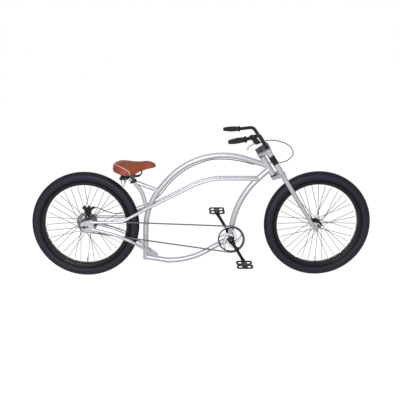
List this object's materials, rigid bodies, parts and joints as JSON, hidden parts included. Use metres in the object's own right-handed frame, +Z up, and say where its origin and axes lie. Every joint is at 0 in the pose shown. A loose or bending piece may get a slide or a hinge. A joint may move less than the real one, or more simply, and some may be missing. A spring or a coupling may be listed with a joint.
{
  "type": "stretched cruiser bicycle",
  "caption": "Long arched-frame cruiser bicycle with double-crown fork, wide tyres, brown saddle, swirl chainring and single-speed chain.",
  "frame": {"origin": "top of the saddle, where the rider holds the bicycle up; the rear axle is 0.300 m behind it and the ground 0.772 m below it", "axes": "+X forward, +Y to the rider's left, +Z up"},
  "size_m": [2.2178, 0.626, 0.9693],
  "materials": {
    "silver_frame": "metallic silver gloss",
    "black_metal": "black satin",
    "dark_steel": "dark grey satin",
    "polished_metal": "polished",
    "spoke_steel": "satin",
    "chain_steel": "oiled",
    "tyre_rubber": "matte",
    "saddle_leather": "semi-gloss brown",
    "grip_rubber": "matte black",
    "cable_sleeve": "satin black",
    "pedal_plastic": "black"
  },
  "bodies": {
    "frame": {"arch_seat_tube": "silver_frame", "belly_tube": "silver_frame", "down_tube": "silver_frame", "head_tube": "silver_frame", "bottom_bracket_shell": "silver_frame", "upper_rail_right": "silver_frame", "upper_rail_left": "silver_frame", "chainstay_right": "silver_frame", "chainstay_left": "silver_frame", "rear_dropout_right": "silver_frame", "rear_dropout_left": "silver_frame", "corner_gusset": "silver_frame", "seat_mast": "silver_frame", "seat_strut": "silver_frame", "seat_collar": "black_metal", "seat_post": "black_metal", "saddle_clamp": "dark_steel", "saddle_bracket": "black_metal", "saddle_spring_right": "polished_metal", "saddle_spring_left": "polished_metal", "saddle": "saddle_leather", "headset_upper": "black_metal", "headset_lower": "black_metal", "brake_caliper": "black_metal", "brake_cable": "cable_sleeve", "chain": "chain_steel", "rear_axle": "dark_steel"},
    "steering": {"steerer": "dark_steel", "lower_crown": "silver_frame", "upper_crown": "silver_frame", "fork_leg_right": "silver_frame", "fork_leg_left": "silver_frame", "fork_sleeve_right": "black_metal", "fork_sleeve_left": "black_metal", "stem": "dark_steel", "handlebar": "black_metal", "grip_right": "grip_rubber", "grip_left": "grip_rubber", "lever_perch": "black_metal", "lever_blade": "black_metal", "front_axle": "dark_steel", "brake_cable_loop": "cable_sleeve"},
    "front_wheel": {"front_tyre": "tyre_rubber", "front_rim": "black_metal", "front_hub": "spoke_steel"},
    "rear_wheel": {"rear_tyre": "tyre_rubber", "rear_rim": "black_metal", "rear_hub": "spoke_steel", "brake_rotor": "polished_metal"},
    "cog": {"rear_cog": "dark_steel"},
    "crank": {"chainring": "polished_metal", "crank_spindle": "dark_steel", "crank_arm_right": "black_metal", "crank_arm_left": "black_metal"},
    "pedal_right": {"pedal_right": "pedal_plastic"},
    "pedal_left": {"pedal_left": "pedal_plastic"}
  },
  "joints": [
    {"name": "steering_turn", "type": "hinge", "parent": "frame", "child": "steering", "pos_m": [1.15154, 0, -0.46321], "axis": [-0.527, 0, 0.8499], "range_deg": [-45, 45], "deforming": ["brake_cable_loop"]},
    {"name": "front_wheel_spin", "type": "hinge", "parent": "steering", "child": "front_wheel", "pos_m": [1.218, 0, -0.422], "axis": [0, 1, 0], "continuous": true},
    {"name": "rear_wheel_spin", "type": "hinge", "parent": "frame", "child": "rear_wheel", "pos_m": [-0.3, 0, -0.422], "axis": [0, 1, 0], "continuous": true},
    {"name": "crank_spin", "type": "hinge", "parent": "frame", "child": "crank", "pos_m": [0.649, 0, -0.515], "axis": [0, 1, 0], "continuous": true},
    {"name": "cog_spin", "type": "hinge", "parent": "frame", "child": "cog", "pos_m": [-0.3, 0, -0.422], "axis": [0, 1, 0], "continuous": true},
    {"name": "pedal_right_spin", "type": "hinge", "parent": "crank", "child": "pedal_right", "pos_m": [0.73477, -0.13, -0.66178], "axis": [0, 1, 0], "continuous": true},
    {"name": "pedal_left_spin", "type": "hinge", "parent": "crank", "child": "pedal_left", "pos_m": [0.56323, 0.13, -0.36822], "axis": [0, 1, 0], "continuous": true}
  ],
  "couplings": [
    {"joint": "cog_spin", "follows": "crank_spin", "ratio": 2.4444}
  ]
}
